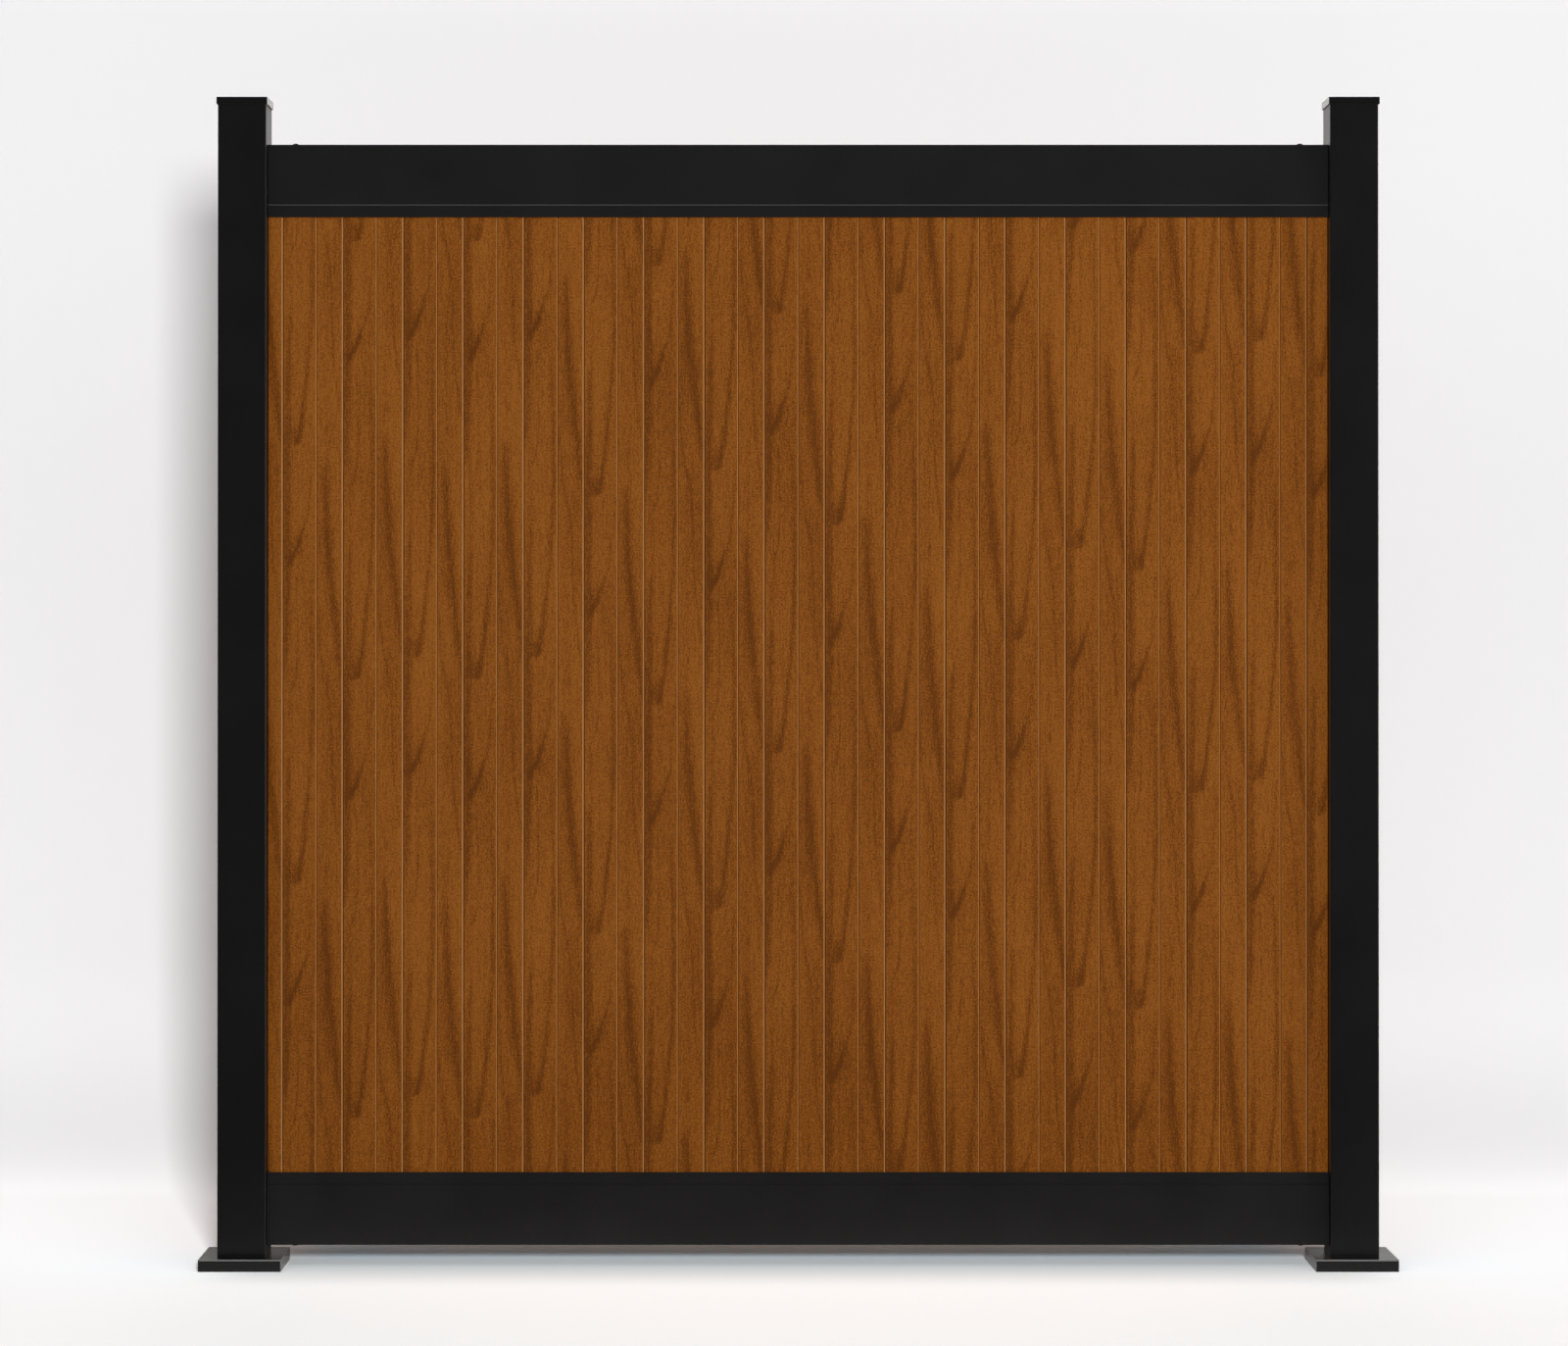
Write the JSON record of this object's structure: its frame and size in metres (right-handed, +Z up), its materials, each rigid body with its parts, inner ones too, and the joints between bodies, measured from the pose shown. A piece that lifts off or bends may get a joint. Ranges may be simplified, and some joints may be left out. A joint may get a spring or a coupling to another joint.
{
  "type": "privacy fence panel",
  "caption": "Free-standing aluminium privacy fence panel: square capped posts on covered base plates, deep top and bottom rails, and upright wood-grain tongue-and-groove boards.",
  "frame": {"origin": "on the ground under the middle of the panel, half way between the posts", "axes": "+X along the panel towards the right post as seen from the front, +Y to the back, +Z up; the front faces -Y"},
  "size_m": [1.8826, 0.13, 1.848],
  "materials": {
    "black_powder_coat": "satin black powder coat on extruded aluminium",
    "wood_grain_print": "matt warm brown wood-grain print on extruded aluminium",
    "bracket_metal": "mill-finish aluminium angle",
    "black_screws": "black coated steel, domed head",
    "steel_screws": "plain stainless steel"
  },
  "bodies": {
    "root": {"left_post": "black_powder_coat", "right_post": "black_powder_coat", "left_post_cap": "black_powder_coat", "right_post_cap": "black_powder_coat", "left_base_plate": "black_powder_coat", "right_base_plate": "black_powder_coat", "left_base_cover": "black_powder_coat", "right_base_cover": "black_powder_coat", "top_rail": "black_powder_coat", "bottom_rail": "black_powder_coat", "board_01": "wood_grain_print", "board_02": "wood_grain_print", "board_03": "wood_grain_print", "board_04": "wood_grain_print", "board_05": "wood_grain_print", "board_06": "wood_grain_print", "board_07": "wood_grain_print", "board_08": "wood_grain_print", "board_09": "wood_grain_print", "board_10": "wood_grain_print", "board_11": "wood_grain_print", "board_12": "wood_grain_print", "board_13": "wood_grain_print", "board_14": "wood_grain_print", "board_15": "wood_grain_print", "board_16": "wood_grain_print", "board_17": "wood_grain_print", "board_18": "wood_grain_print", "top_left_bracket": "bracket_metal", "top_right_bracket": "bracket_metal", "bottom_left_bracket": "bracket_metal", "bottom_right_bracket": "bracket_metal", "rail_screws": "black_screws", "bracket_screws": "steel_screws"}
  },
  "joints": []
}
